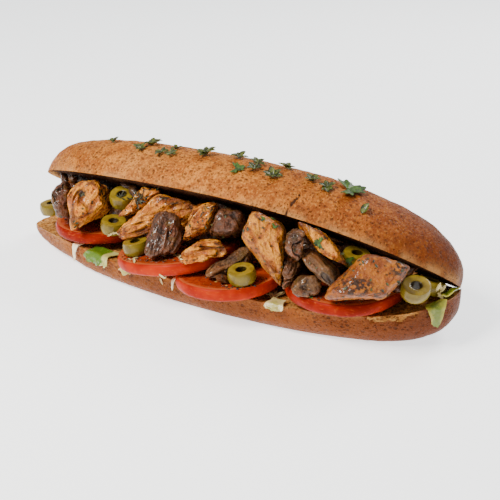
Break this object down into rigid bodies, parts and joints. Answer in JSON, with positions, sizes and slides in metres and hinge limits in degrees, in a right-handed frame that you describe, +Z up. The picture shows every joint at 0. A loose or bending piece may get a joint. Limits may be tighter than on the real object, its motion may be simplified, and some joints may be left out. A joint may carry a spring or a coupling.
{
  "type": "filled bread roll sandwich",
  "caption": "Long wholemeal roll opened along one side, filled with pale and dark meat chunks, olive rings, tomato slices and lettuce, with small herb leaves on its crust.",
  "frame": {"origin": "middle of the flat underside that the roll rests on", "axes": "+X along the roll to the end where the crown droops most, -Y to the open side where the filling shows, +Z up"},
  "size_m": [0.2701, 0.0986, 0.0754],
  "materials": {
    "crust": "baked wholemeal crust with a slight sheen",
    "tomato": "wet tomato flesh and skin",
    "lettuce": "fresh leaf",
    "olive": "oily olive skin",
    "pale_meat": "grilled, lightly oiled",
    "dark_meat": "braised, glossy with sauce"
  },
  "bodies": {
    "root": {"roll_heel": "crust", "roll_crown": "crust", "tomato_1": "tomato", "tomato_2": "tomato", "tomato_3": "tomato", "tomato_4": "tomato", "olive_1": "olive", "olive_2": "olive", "olive_3": "olive", "olive_4": "olive", "olive_5": "olive", "olive_6": "olive", "olive_7": "olive", "olive_8": "olive", "lettuce_1": "lettuce", "lettuce_2": "lettuce", "lettuce_3": "lettuce", "lettuce_4": "lettuce", "lettuce_5": "lettuce", "lettuce_6": "lettuce", "lettuce_7": "lettuce", "meat_pale_1": "pale_meat", "meat_pale_2": "pale_meat", "meat_pale_3": "pale_meat", "meat_pale_4": "pale_meat", "meat_pale_5": "pale_meat", "meat_pale_6": "pale_meat", "meat_pale_7": "pale_meat", "meat_pale_8": "pale_meat", "meat_dark_1": "dark_meat", "meat_dark_2": "dark_meat", "meat_dark_3": "dark_meat", "meat_dark_4": "dark_meat", "meat_dark_5": "dark_meat", "meat_dark_6": "dark_meat", "meat_dark_7": "dark_meat", "meat_dark_8": "dark_meat", "meat_dark_9": "dark_meat", "meat_dark_10": "dark_meat", "meat_dark_11": "dark_meat", "meat_dark_12": "dark_meat", "meat_dark_13": "dark_meat"}
  },
  "joints": []
}
